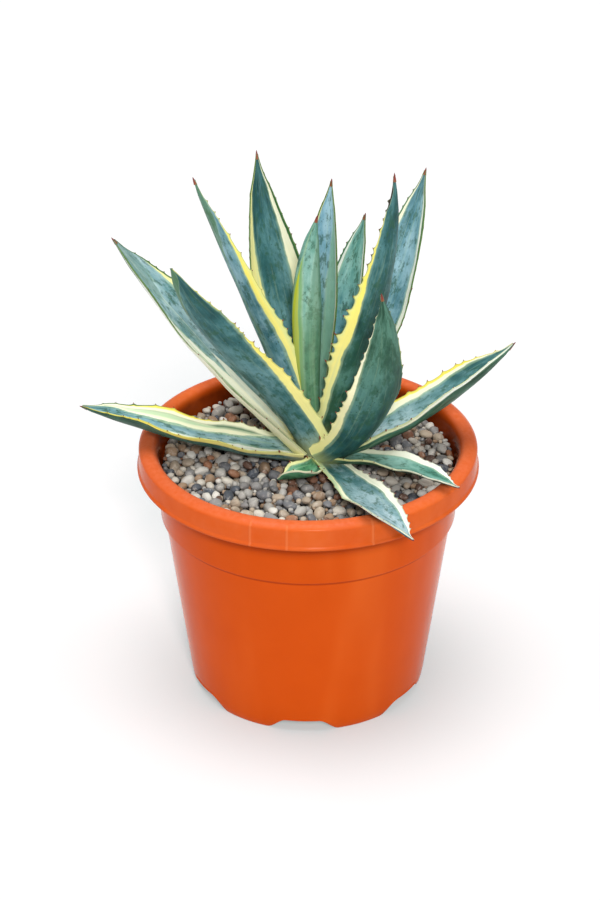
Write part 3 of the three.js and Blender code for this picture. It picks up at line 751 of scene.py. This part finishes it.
class Leaf:
    """A gutter-shaped blade along a cubic path, with humps and teeth along its edges."""

    def __init__(self, name, seed):
        self.name = name
        path, self.face, self.width, self.neck, self.belly, *rest = LEAVES[name]
        self.curl, self.wave, self.taper = rest
        self.path = np.array(path, float)
        self.rng = np.random.default_rng(seed)
        fine = self.centre(np.linspace(0, 1, 200))
        self.length = np.linalg.norm(np.diff(fine, axis=0), axis=1).sum()
        self.humps = HUMPS.get(name, USUAL_HUMP)
        self.blade_end = BLADE_END
        # 1 where the last part of the blade is drawn in towards a spine, and 0 where it isn't.
        self.point = 1.0
        if name == SPINELESS:
            self.point = 0.0
            self.blade_end = BLUNT_END
            self.taper *= BLUNTER
        self.phases = self.rng.uniform(0, 6.28, 4)
        self.teeth = {side: self.tooth_places() for side in (-1, 1)}

    def tooth_places(self):
        """(share along the leaf, size) of each tooth on one edge."""
        places = []
        reach = 0.1 * self.length + 5 * self.rng.random()
        while reach < 0.93 * self.length:
            share = reach / self.length
            size = self.rng.uniform(0.6, 1.2) * (1.15 - 0.65 * share)
            places.append((share, size))
            reach += TOOTH_PITCH * self.rng.uniform(0.45, 1.55) * (1.05 - 0.3 * share)
        return places

    def centre(self, t):
        t = np.asarray(t, float)
        weights = np.stack([
            -4.5 * (t - 1 / 3) * (t - 2 / 3) * (t - 1),
            13.5 * t * (t - 2 / 3) * (t - 1),
            -13.5 * t * (t - 1 / 3) * (t - 1),
            4.5 * t * (t - 1 / 3) * (t - 2 / 3),
        ], axis=-1)
        return weights @ self.path

    def half_width(self, t):
        rise = smoothstep(t, 0, self.belly)
        fall = np.maximum((t - self.belly) / (1 - self.belly), 0)
        share = (self.neck + (1 - self.neck) * rise) * (1 - fall**self.taper)
        share = share * (1 - 0.45 * self.point * smoothstep(t, 0.86, 0.98))
        return np.maximum(self.width / 2 * share, 0.6)

    def curl_at(self, t):
        return np.radians(np.interp(t, [0, 0.5, 1], self.curl))

    def thickness(self, t, u):
        middle = (5.5 - 3.7 * np.maximum(t, 0) ** 0.7) * min(self.width / 40, 1)
        full = np.maximum(0.9 + (middle - 0.9) * (1 - u * u), 0.9)
        return full * (1 - 0.55 * smoothstep(t, 0.93, 0.99))

    def hump(self, t, side):
        """How far the edge stands out at each tooth and draws in between them, in mm."""
        rise = np.full_like(t, -0.35)
        for share, size in self.teeth[side]:
            off = (t - share) * self.length / (2.0 * size)
            bulge = smoothstep(share, 0.2, 0.38) * smoothstep(0.72 - share, 0, 0.2)
            extra = max(self.humps - 1, 0) * bulge
            height = 1.75 * size * (min(self.humps, 1) + extra)
            rise = np.maximum(rise, -0.35 + height / (1 + off * off) ** 1.3)
        return rise * (1 - smoothstep(t, 0.9, 0.97)) * smoothstep(t, 0.02, 0.1)

    def surface(self, t, u, depth):
        """Points at shares t along and u across; depth is 0 on the inner face and 1 on the outer."""
        t, u = np.broadcast_arrays(np.asarray(t, float), np.asarray(u, float))
        centre = self.centre(t)
        tangent = unit(self.centre(t + 0.01) - self.centre(t - 0.01))
        azimuth = np.radians(self.face[0] + (self.face[1] - self.face[0]) * t)
        outward = np.stack([np.cos(azimuth), np.sin(azimuth), -np.ones_like(azimuth)], axis=-1)
        outward = unit(outward - tangent * np.sum(outward * tangent, axis=-1, keepdims=True))
        side = np.cross(tangent, outward)
        half = self.half_width(t)
        curl = self.curl_at(t)
        radius = half / curl
        humps = np.where(u > 0, self.hump(t, 1), self.hump(t, -1)) * np.sign(u) * np.abs(u) ** 12
        angle = curl * (u + humps / half)
        ripple = self.wave * np.sin(19 * t + np.where(u > 0, 0, 2)) * u * u * np.sin(math.pi * t)
        a, b, c, d = self.phases
        dents = np.sin(23 * t + 3 * u + a) * np.sin(4 * u - 9 * t + b) * 0.22
        dents = dents + np.sin(51 * t + c) * np.sin(7 * u + d) * 0.1
        lift = radius * (1 - np.cos(angle)) + ripple + dents * np.minimum(half / 8, 1)
        out = depth * self.thickness(t, u)
        across = (radius + out) * np.sin(angle)
        down = out * np.cos(angle) - lift
        return centre + side * across[..., None] + outward * down[..., None]

    def blade(self):
        """(points, inner faces, outer faces, uv maps) of the blade."""
        steps = int(self.length * self.blade_end / STEP)
        t = np.linspace(0, self.blade_end, steps)[:, None]
        half = self.half_width(t)
        rim = 1 + 0.3 / half
        ring = np.concatenate([
            self.surface(t, ACROSS[None, :], 0.0),
            self.surface(t, rim, 0.5),
            self.surface(t, ACROSS[None, ::-1], 1.0),
            self.surface(t, -rim, 0.5),
        ], axis=1)
        u = np.concatenate([ACROSS, [1], ACROSS[::-1], [-1]])
        around = ring.shape[1]
        points = ring.reshape(-1, 3)
        share = np.stack(np.broadcast_arrays(0.5 + 0.5 * u[None, :], t), axis=-1).reshape(-1, 2)
        span = share * np.array([self.width, self.length]) / 100
        faces = facing_out(points, ring_quads(steps, around)).reshape(steps - 1, around, 4)
        edge = len(ACROSS)
        inner = np.concatenate([faces[:, :edge], faces[:, -1:]], axis=1).reshape(-1, 4)
        outer = faces[:, edge:-1].reshape(-1, 4)
        caps = []
        for end in (0, steps - 1):
            cap = np.arange(around) + end * around
            caps.append((cap if end else cap[::-1]).tolist())
        return points, inner, outer, caps, share, span

    def tooth(self, side, share, size):
        """A small hooked claw standing on a hump of the edge."""
        edge = self.surface(share, side, 0.5)
        inside = self.surface(share, side * 0.93, 0.5)
        out = unit(edge - inside)
        ahead = self.surface(share + 0.008, side * 0.9, 0.5)
        along = unit(ahead - self.surface(share - 0.008, side * 0.9, 0.5))
        up = np.cross(out, along)
        height = TOOTH_HEIGHT * size
        rings, sides = 5, 6
        points = []
        for k in range(rings):
            far = k / (rings - 1)
            reach = -TOOTH_ROOT + (height + TOOTH_ROOT) * far
            middle = edge + out * reach + along * TOOTH_HOOK * height * far**2
            half = TOOTH_HALF * size * (1 - far) ** 0.8 + 0.06
            points += ring(middle, along, up * TOOTH_FLATNESS, half, sides)
        return np.array(points), rings, sides

    def spine(self):
        """The hard point at the leaf's tip, which ends just short of the part's own."""
        rings, sides = 9, 10
        points = []
        start = 1 - SPINE_LENGTH / self.length
        for k in range(rings):
            far = k / (rings - 1)
            t = start + (0.999 - start) * far
            middle = self.surface(t, 0.0, 0.5)
            ahead = unit(self.centre(t + 0.01) - self.centre(t - 0.01))
            first = unit(np.cross(ahead, [0.3, 0.2, 0.9]))
            second = np.cross(ahead, first)
            half = SPINE_HALF * (1 - far) ** 0.65 + 0.05
            points += ring(middle, first, second, half, sides)
        return np.array(points), rings, sides

    def piece(self, materials):
        points, inner, outer, caps, share, span = self.blade()
        groups = [(inner, 0), (outer, 1), (caps, 1)]
        cones = [self.tooth(side, *place) for side in (-1, 1) for place in self.teeth[side]]
        if self.name != SPINELESS:
            cones.append(self.spine())
        spikes = []
        tips = []
        for cone, rings, sides in cones:
            start = len(points) + sum(len(c) for c in spikes)
            groups.append((facing_out(cone, ring_quads(rings, sides)) + start, 2))
            cap = start + (rings - 1) * sides + np.arange(sides)
            groups.append(([cap.tolist()], 2))
            spikes.append(cone)
            tips.append(np.repeat(np.linspace(0, 1, rings), sides))
        tips = np.concatenate(tips)
        tooth_share = np.stack([np.full_like(tips, 0.5), tips], axis=-1)
        points = np.vstack([points, *spikes])
        share = np.vstack([share, tooth_share])
        span = np.vstack([span, tooth_share])
        return mesh_piece(self.name + "_blade", points, groups, materials, {"share": share, "span": span})


# --- leaf materials --------------------------------------------------------
YELLOW = colour(254, 236, 100)
LEMON = colour(252, 245, 168)
CREAM = colour(252, 250, 218)
WHITE = colour(244, 247, 236)
LIME = colour(196, 204, 52)
PALE = colour(186, 214, 172)
SAGE = colour(128, 176, 112)
MINT = colour(136, 190, 164)
GREEN = colour(52, 104, 56)
JADE = colour(60, 116, 86)
DEEP = colour(48, 98, 100)
RUST = colour(132, 78, 60)
BLACK = colour(42, 30, 28)

# dark, middle and light of the leaf's green part
TONES = {
    "forest": (colour(24, 58, 40), colour(46, 88, 66), colour(88, 136, 116)),
    "deep": (colour(28, 72, 74), colour(48, 98, 100), colour(86, 136, 140)),
    "teal": (colour(36, 84, 84), colour(68, 118, 120), colour(120, 164, 170)),
    "steel": (colour(66, 114, 124), colour(106, 152, 164), colour(156, 194, 206)),
    "sky": (colour(92, 146, 168), colour(132, 180, 202), colour(172, 210, 224)),
    "jade": (colour(50, 112, 74), colour(90, 152, 112), colour(136, 190, 160)),
    "mint": (colour(76, 134, 118), colour(118, 172, 156), colour(158, 204, 192)),
    "frost": (colour(102, 146, 148), colour(150, 184, 192), colour(196, 218, 224)),
}

# Per leaf: the tones of its inner face at the base and the tip, then of its outer face, how strong
# the pale streaks are, and the painted bands of both faces, or of each face where they differ.
# A band lies round the line at u = -1 (one edge), u = 1 (the other) or between, and has
# [(share along the leaf, half width across)] and its colours at the base and the tip.
LOOKS = {
    "leaf_bud_front": (("jade", "jade"), ("jade", "mint"), 0.35, [
        (1, [(0, 1.0), (0.3, 1.0), (0.5, 0.9), (0.8, 0.64), (1, 0.2)], JADE, JADE, 0.45),
        (-0.33, [(0, 0.2), (0.2, 0.3), (0.45, 0.3), (0.66, 0.2), (0.8, 0)], SAGE, SAGE, 0.9),
        (-0.35, [(0.02, 0.12), (0.25, 0.2), (0.45, 0.2), (0.62, 0.12), (0.74, 0)], LIME, LIME, 1),
    ]),
    "leaf_bud_back": (("mint", "sky"), ("teal", "teal"), 0.3, [
        (-1, [(0, 0.8), (0.3, 0.9), (0.6, 0.8), (0.75, 0.6), (0.85, 0.3), (1, 0.1)], MINT, MINT, 0.7),
        (-1, [(0, 0.2), (0.3, 0.2), (0.6, 0.2), (0.8, 0.2), (1, 0.2)], LEMON, WHITE, 1),
        (-1, [(0, 0.05), (0.5, 0.07), (1, 0.1)], GREEN, GREEN, 1),
        (1, [(0, 0.25), (0.7, 0.2), (0.9, 0.2), (1, 0.2)], PALE, LEMON, 1),
        (1, [(0, 0.08), (0.7, 0.1), (1, 0.12)], GREEN, GREEN, 1),
    ]),
    "leaf_back_small": (("sky", "mint"), ("teal", "teal"), 0.3, [
        (-1, [(0, 0.2), (0.5, 0.24), (0.75, 0.26), (0.9, 0.26), (1, 0.2)], CREAM, WHITE, 1),
        (-1, [(0, 0.04), (0.5, 0.08), (1, 0.12)], GREEN, GREEN, 1),
        (1, [(0, 0.15), (0.5, 0.24), (0.7, 0.28), (0.9, 0.26), (1, 0.2)], LEMON, WHITE, 1),
        (1, [(0, 0.06), (0.6, 0.08), (1, 0.14)], GREEN, JADE, 1),
    ]),
    "leaf_back_tall": (("teal", "deep"), ("teal", "teal"), 0.25, [
        (-1, [(0.3, 0.7), (0.45, 0.6), (0.55, 0.5), (0.7, 0.4), (0.85, 0.34), (1, 0.2)], YELLOW, CREAM, 1),
        (-1, [(0.3, 0.04), (0.6, 0.1), (0.85, 0.14), (1, 0.1)], GREEN, GREEN, 1),
        (1, [(0.3, 0.6), (0.45, 0.58), (0.6, 0.45), (0.7, 0.34), (0.8, 0.24), (1, 0.12)], YELLOW, LEMON, 1),
        (1, [(0.3, 0.02), (0.5, 0.03), (0.7, 0.04), (1, 0.07)], GREEN, GREEN, 1),
    ]),
    "leaf_left_upright": (("steel", "sky"), ("steel", "steel"), 0.3, [
        (1, [(0, 0.36), (0.2, 0.34), (0.3, 0.3), (0.6, 0.32), (0.7, 0.22), (0.84, 0.05), (0.9, 0)],
         LEMON, YELLOW, 1),
        (1, [(0, 0.5), (0.12, 0.42), (0.26, 0.1), (0.3, 0)], PALE, PALE, 0.6),
        (-1, [(0.4, 0), (0.46, 0.1), (0.56, 0.09), (0.63, 0), (0.76, 0), (0.82, 0.12), (0.9, 0)],
         RUST, RUST, 1),
        (0, [(0.7, 0), (0.84, 0.7), (1, 1.2)], GREEN, GREEN, 0.6),
    ]),
    "leaf_right_upright": (("steel", "sky"), ("forest", "deep"), 0.2, [
        (-1, [(0, 0.32), (0.15, 0.36), (0.5, 0.38), (0.6, 0.28), (0.68, 0.16), (0.8, 0.09), (0.95, 0.06)],
         LEMON, YELLOW, 1),
        (-1, [(0.87, 0), (0.9, 0.3), (0.95, 0.5), (0.975, 0)], BLACK, BLACK, 1),
    ]),
    "leaf_back_right": (("steel", "steel"), ("teal", "teal"), 0.45, [
        (-1, [(0, 0.2), (0.5, 0.26), (0.7, 0.3), (0.95, 0.34)], CREAM, WHITE, 1),
        (-1, [(0.5, 0.04), (0.62, 0.08), (0.7, 0.14), (0.9, 0.16), (1, 0.2)], GREEN, GREEN, 1),
        (1, [(0.3, 0.16), (0.7, 0.22), (0.8, 0.26), (0.95, 0.24)], LEMON, CREAM, 1),
        (1, [(0.7, 0.04), (0.8, 0.08), (1, 0.1)], GREEN, JADE, 1),
    ]),
    "leaf_left_front": (("teal", "deep"), ("teal", "deep"), 0.2, [
        (1, [(0, 0.3), (0.2, 0.28), (0.4, 0.24), (0.5, 0.15), (0.6, 0.03), (0.63, 0)], LEMON, YELLOW, 1),
        (-1, [(0.7, 0), (0.9, 0.7), (1, 2)], GREEN, GREEN, 0.6),
    ]),
    "leaf_right_front": (("steel", "sky"), ("deep", "forest"), 0.25, [
        (-1, [(0, 0.34), (0.2, 0.26), (0.4, 0.2), (0.55, 0.17), (0.65, 0.12), (0.75, 0.06), (0.95, 0.04)],
         LEMON, CREAM, 1),
        (1, [(0.6, 0), (0.66, 0.06), (0.74, 0.06), (0.8, 0)], LIME, LIME, 0.8),
    ]),
    "leaf_left_mid": (("frost", "frost"), ("frost", "forest"), 0.7, [
        (1, [(0, 1.2), (0.2, 1.0), (0.3, 0.95), (0.4, 0.85), (0.5, 0.7), (0.62, 0.42), (0.8, 0.2),
             (1, 0.1)], CREAM, WHITE, 1),
        (0.5, [(0.1, 0), (0.2, 0.09), (0.4, 0.08), (0.5, 0)], SAGE, SAGE, 0.8),
        (-0.05, [(0, 0.1), (0.2, 0.12), (0.35, 0.1), (0.45, 0)], WHITE, WHITE, 1),
        (1, [(0.55, 0), (0.7, 0.05), (1, 0.1)], GREEN, GREEN, 1),
        (-1, [(0, 0.2), (0.6, 0.3), (0.7, 0.26), (0.8, 0.16), (0.9, 0.08), (1, 0.05)], YELLOW, LEMON, 1),
        (-1, [(0.3, 0.02), (0.7, 0.04), (0.85, 0.1), (1, 0.12)], GREEN, GREEN, 1),
        (0, [(0.7, 0), (0.84, 0.5), (1, 1.2)], DEEP, DEEP, 0.45),
    ]),
    "leaf_right_long": (("frost", "teal"), ("forest", "forest"), 0.5, [
        (-1, [(0, 0.9), (0.2, 0.95), (0.5, 0.95), (0.65, 1.0), (0.8, 0.9), (0.9, 0.6), (1, 0.3)],
         WHITE, WHITE, 1),
        (-1, [(0, 0.1), (0.3, 0.15), (0.5, 0.22), (0.65, 0.2), (0.75, 0)], YELLOW, YELLOW, 1),
        (1, [(0, 0.22), (0.3, 0.26), (0.5, 0.24), (0.65, 0.2), (0.8, 0.13), (1, 0.1)], CREAM, CREAM, 1),
        (1, [(0.3, 0.02), (0.45, 0.07), (0.7, 0.08), (0.85, 0.04)], YELLOW, YELLOW, 1),
    ], [
        (-1, [(0, 0.12), (0.5, 0.1), (1, 0.1)], LEMON, WHITE, 1),
        (1, [(0, 0.2), (0.5, 0.14), (1, 0.1)], CREAM, LEMON, 1),
    ]),
    "leaf_left_low": (("frost", "steel"), ("teal", "forest"), 0.8, [
        (-1, [(0, 0.12), (0.15, 0.18), (0.3, 0.42), (0.5, 0.52), (0.7, 0.44), (0.85, 0.3), (0.95, 0.15)],
         CREAM, CREAM, 1),
        (-0.72, [(0.35, 0), (0.5, 0.08), (0.7, 0.08), (0.82, 0)], PALE, PALE, 0.9),
        (-0.8, [(0.2, 0), (0.25, 0.05), (0.4, 0.06), (0.45, 0)], JADE, JADE, 0.9),
        (-1, [(0.35, 0), (0.5, 0.08), (0.7, 0.09), (0.85, 0.05), (0.95, 0)], YELLOW, YELLOW, 1),
        (-1, [(0.6, 0), (0.75, 0.04), (1, 0.1)], GREEN, GREEN, 1),
        (1, [(0, 1.1), (0.3, 1.1), (0.6, 0.95), (0.8, 0.85), (0.95, 0.6)], WHITE, WHITE, 1),
        (1, [(0, 0.35), (0.2, 0.4), (0.45, 0.5), (0.6, 0.36), (0.72, 0.1), (0.8, 0)], LEMON, YELLOW, 1),
    ], [
        (-1, [(0, 0.1), (0.5, 0.2), (0.95, 0.1)], CREAM, LEMON, 1),
        (1, [(0, 0.12), (0.5, 0.16), (0.7, 0.06), (0.8, 0)], LEMON, YELLOW, 1),
    ]),
    "leaf_right_low": (("mint", "mint"), ("forest", "forest"), 0.35, [
        (-1, [(0, 0.3), (0.3, 0.24), (0.6, 0.26), (0.8, 0.27), (0.95, 0.26)], LEMON, WHITE, 1),
        (1, [(0, 0.25), (0.3, 0.34), (0.5, 0.38), (0.7, 0.34), (0.9, 0.3)], CREAM, WHITE, 1),
    ], [
        (-1, [(0, 0.08), (0.5, 0.08), (1, 0.1)], LEMON, WHITE, 1),
        (1, [(0, 0.12), (0.5, 0.14), (1, 0.1)], CREAM, WHITE, 1),
    ]),
    "leaf_front_low": (("teal", "frost"), ("forest", "teal"), 0.35, [
        (-1, [(0, 0.4), (0.25, 0.3), (0.5, 0.2), (0.7, 0.17), (0.9, 0.17)], LEMON, WHITE, 1),
        (-1, [(0, 0.5), (0.2, 0.25), (0.4, 0.08), (0.5, 0)], PALE, PALE, 0.7),
        (1, [(0, 0.25), (0.2, 0.3), (0.5, 0.28), (0.7, 0.28), (0.9, 0.26)], CREAM, WHITE, 1),
    ], [
        (-1, [(0, 0.15), (0.5, 0.12), (1, 0.15)], LEMON, WHITE, 1),
        (1, [(0, 0.25), (0.5, 0.2), (1, 0.15)], CREAM, WHITE, 1),
    ]),
    "leaf_front_short": (("jade", "jade"), ("jade", "jade"), 0.7, [
        (-1, [(0, 0.2), (0.5, 0.2), (0.8, 0.2), (1, 0.3)], LEMON, LEMON, 0.9),
        (1, [(0, 0.25), (0.5, 0.28), (1, 0.25)], CREAM, CREAM, 1),
    ], [
        (1, [(0, 0.1), (0.5, 0.08), (1, 0.1)], CREAM, CREAM, 1),
        (-1, [(0, 0.2), (0.5, 0.2), (1, 0.2)], LEMON, LEMON, 0.9),
    ]),
}
REAR = (("steel", "teal"), ("teal", "forest"), 0.5, [
    (-1, [(0, 0.35), (0.4, 0.32), (0.8, 0.3), (1, 0.2)], LEMON, CREAM, 1),
    (1, [(0, 0.3), (0.4, 0.36), (0.8, 0.3), (1, 0.2)], LEMON, WHITE, 1),
])


def along(s, t, stops):
    """A value that goes from stop to stop along the leaf; stops may reach 2."""
    halved = [(position, value / 2) for position, value in stops]
    return s.times(s.ramp(t, halved), 2.0)


def flesh(s, span, t, tones, streaks):
    """The green part of a leaf: broad clouds, streaks along it, wax rubbed off in blotches, dots."""
    clouds = s.noise(s.stretch(span, (5, 2.2, 1)), 1.0, detail=5, roughness=0.65)
    shades = []
    for dark, middle, light in (TONES[tones[0]], TONES[tones[1]]):
        shades.append(s.ramp(clouds, [(0.37, dark), (0.49, middle), (0.63, light)]))
    base = s.mix(s.between(t, 0.15, 0.8), *shades)
    dark, light = TONES[tones[0]][0], TONES[tones[1]][2]
    lines = s.noise(s.stretch(span, (42, 1.3, 1)), 1.0, detail=3, roughness=0.6)
    base = s.mix(s.times(s.between(lines, 0.52, 0.8), streaks), base, PALE)
    fibres = s.noise(s.stretch(span, (160, 5, 1)), 1.0, detail=2)
    base = s.mix(s.scaled(fibres, 0.0, 0.25), base, dark)
    bloom = s.noise(s.stretch(span, (11, 8, 1)), 1.0, detail=6, roughness=0.7, distortion=0.4)
    base = s.mix(s.times(s.between(bloom, 0.5, 0.72), 0.5), base, light)
    blotch = s.noise(s.stretch(span, (20, 11, 1), (3, 1, 0)), 1.0, detail=6, roughness=0.7)
    base = s.mix(s.times(s.between(blotch, 0.5, 0.62), 0.7), base, TONES["forest"][1])
    few = s.between(s.noise(s.stretch(span, (7, 7, 1), (1, 5, 0)), 1.0), 0.45, 0.6)
    dots = s.cells(s.stretch(span, (30, 24, 1)), 1.0)
    spots = s.times(s.inverse(s.between(dots, 0.10, 0.2)), few)
    base = s.mix(s.times(spots, 0.65), base, TONES["forest"][0])
    return base, lines, bloom


def leaf_material(name, tones, streaks, bands, shift):
    """One face of a leaf: waxy mottled green with painted bands along it."""
    s = Shader(name)
    u, t, _ = s.parts(s.uv("share"))
    across = s.math("SUBTRACT", s.times(u, 2.0), 1.0)
    span = s.stretch(s.uv("span"), (1, 1, 1), (shift, 2 * shift, shift))
    base, lines, bloom = flesh(s, span, t, tones, streaks)
    waver = s.scaled(s.noise(s.stretch(span, (2, 6, 1), (0, 7, 0)), 1.0, detail=4), -0.8, 0.8)
    hair = s.scaled(s.noise(s.stretch(span, (60, 3, 1), (5, 0, 0)), 1.0, detail=2), -0.5, 0.5)
    waver = s.math("ADD", waver, hair)
    grain = s.noise(s.stretch(span, (30, 1.0, 1), (9, 0, 0)), 1.0, detail=2)
    for place, stops, base_shade, tip_shade, strength in bands:
        widest = max(width for _, width in stops)
        off = s.math("ABSOLUTE", s.math("SUBTRACT", across, float(place)))
        ragged = s.times(waver, min(0.13, 0.3 * widest))
        inside = s.math("SUBTRACT", s.math("ADD", along(s, t, stops), ragged), off)
        shade = s.ramp(t, [(0.1, base_shade), (0.7, tip_shade)])
        shade = s.mix(s.times(s.between(grain, 0.5, 0.7), 0.25), shade, PALE)
        if widest > 0.2:
            fringe = s.times(s.between(inside, -0.12, -0.02), 0.4 * strength)
            base = s.mix(fringe, base, PALE)
        soft = 0.02 if strength == 1 else 0.06
        cover = s.times(s.between(inside, -soft, soft), float(strength))
        base = s.mix(cover, base, shade)
    # The very rim is greener, and the base of the leaf is paler and yellower.
    rim = s.between(s.math("ABSOLUTE", across), 0.965, 0.995)
    base = s.mix(s.times(rim, 0.4), base, colour(122, 138, 60))
    base = s.mix(s.times(s.inverse(s.between(t, 0.0, 0.12)), 0.35), base, LEMON)
    s.set(base_color=base, roughness=s.scaled(bloom, 0.42, 0.6), specular_ior_level=0.22)
    ribs = s.bump(lines, 0.3)
    s.set(normal=s.bump(s.noise(s.stretch(span, (90, 60, 1)), 1.0, detail=3), 0.05, ribs))
    return s.material


def thorn_material():
    """Horny red-brown teeth that darken towards their points."""
    s = Shader("thorns")
    t = s.parts(s.uv("share"))[1]
    base = s.ramp(t, [(0.0, colour(150, 96, 50)), (0.3, colour(146, 56, 36)), (1.0, colour(108, 34, 28))])
    grain = s.noise(s.place(), 1500, detail=3)
    base = s.mix(s.scaled(grain, 0.0, 0.4), base, colour(60, 30, 22))
    s.set(base_color=base, roughness=0.45, normal=s.bump(grain, 0.05))
    return s.material


def make_leaves():
    thorns = thorn_material()
    for index, name in enumerate(LEAVES):
        inner_tones, outer_tones, streaks, *bands = LOOKS.get(name, REAR)
        inner = leaf_material(name + "_inner", inner_tones, streaks, bands[0], 1.7 * index)
        outer = leaf_material(name + "_outer", outer_tones, streaks, bands[-1], 1.7 * index + 0.6)
        piece = Leaf(name, FIRST_SEED + index).piece([inner, outer, thorns])
        settle(piece, "leaf", name)


# --- CAD nodes that stay as they are ---------------------------------------
def soil_material():
    s = Shader("potting_mix")
    place = s.place()
    crumbs = s.cells(place, 350)
    base = s.ramp(crumbs, [(0.0, colour(84, 62, 44)), (0.5, colour(52, 36, 26)), (1.0, colour(26, 18, 13))])
    s.set(base_color=base, roughness=0.95, normal=s.bump(crumbs, 1.0))
    return s.material


def stem_material():
    s = Shader("stem_flesh")
    place = s.place()
    rings = s.noise(s.stretch(place, (60, 60, 500)), 1.0, detail=3)
    base = s.mix(rings, colour(168, 182, 118), colour(214, 212, 160))
    s.set(base_color=base, roughness=0.6, normal=s.bump(rings, 0.3))
    return s.material


def dress(node, material):
    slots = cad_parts[node].material_slots
    for slot in slots:
        slot.material = material


# --- floor and light -------------------------------------------------------
FLOOR_HALF = 60000
FLOOR_TONE = (0.68, 0.56, 0.555, 1.0)
FLOOR_GLOW = (0.155, 0.31, 0.318, 1.0)


def make_floor():
    """A pale floor. Its warm tone and cool glow offset the orange light that the pot throws on it."""
    s = Shader("floor")
    s.set(base_color=FLOOR_TONE, roughness=0.9, specular_ior_level=0.0)
    s.set(emission_color=FLOOR_GLOW, emission_strength=1.0)
    half = FLOOR_HALF
    corners = np.array([[-half, -half, 0], [half, -half, 0], [half, half, 0], [-half, half, 0]], float)
    floor = mesh_piece("floor", corners, [([[0, 1, 2, 3]], 0)], [s.material], smooth=False)


LIGHT_TARGET = (0, 0, 0.2)


def lamp(name, kind, location, power):
    data = bpy.data.lights.new(name, kind)
    data.energy = power
    light = bpy.data.objects.new(name, data)
    light.location = location
    light.rotation_euler = (Vector(LIGHT_TARGET) - Vector(location)).to_track_quat("-Z", "Y").to_euler()
    SCENE.collection.objects.link(light)
    return data


def sky_panel(name, location, width, power):
    """A far off round panel of light, this many degrees wide."""
    lamp(name, "SUN", location, power).angle = math.radians(width)


def softbox(name, location, size, power):
    data = lamp(name, "AREA", location, power)
    data.shape = "RECTANGLE"
    data.size, data.size_y = size


def make_light():
    world = bpy.data.worlds.new("studio")
    world.use_nodes = True
    world.node_tree.nodes["Background"].inputs["Color"].default_value = (1.0, 1.0, 1.0, 1.0)
    world.node_tree.nodes["Background"].inputs["Strength"].default_value = 0.35
    SCENE.world = world
    sky_panel("overhead", (-0.1, 0.0, 2.4), 40, 2.1)
    sky_panel("front", (0.15, -1.9, 1.6), 10, 1.6)
    softbox("left", (-1.6, 0.05, 0.6), (0.1, 1.3), 0.5)
    softbox("right", (1.6, 0.05, 0.6), (0.1, 1.3), 0.5)
    SCENE.view_settings.view_transform = "Standard"
    SCENE.view_settings.look = "None"


make_camera()
make_light()
make_floor()
settle(make_pot(pot_material()), "pot", "pot")
make_gravel()
make_leaves()
dress("soil", soil_material())
dress("stem", stem_material())
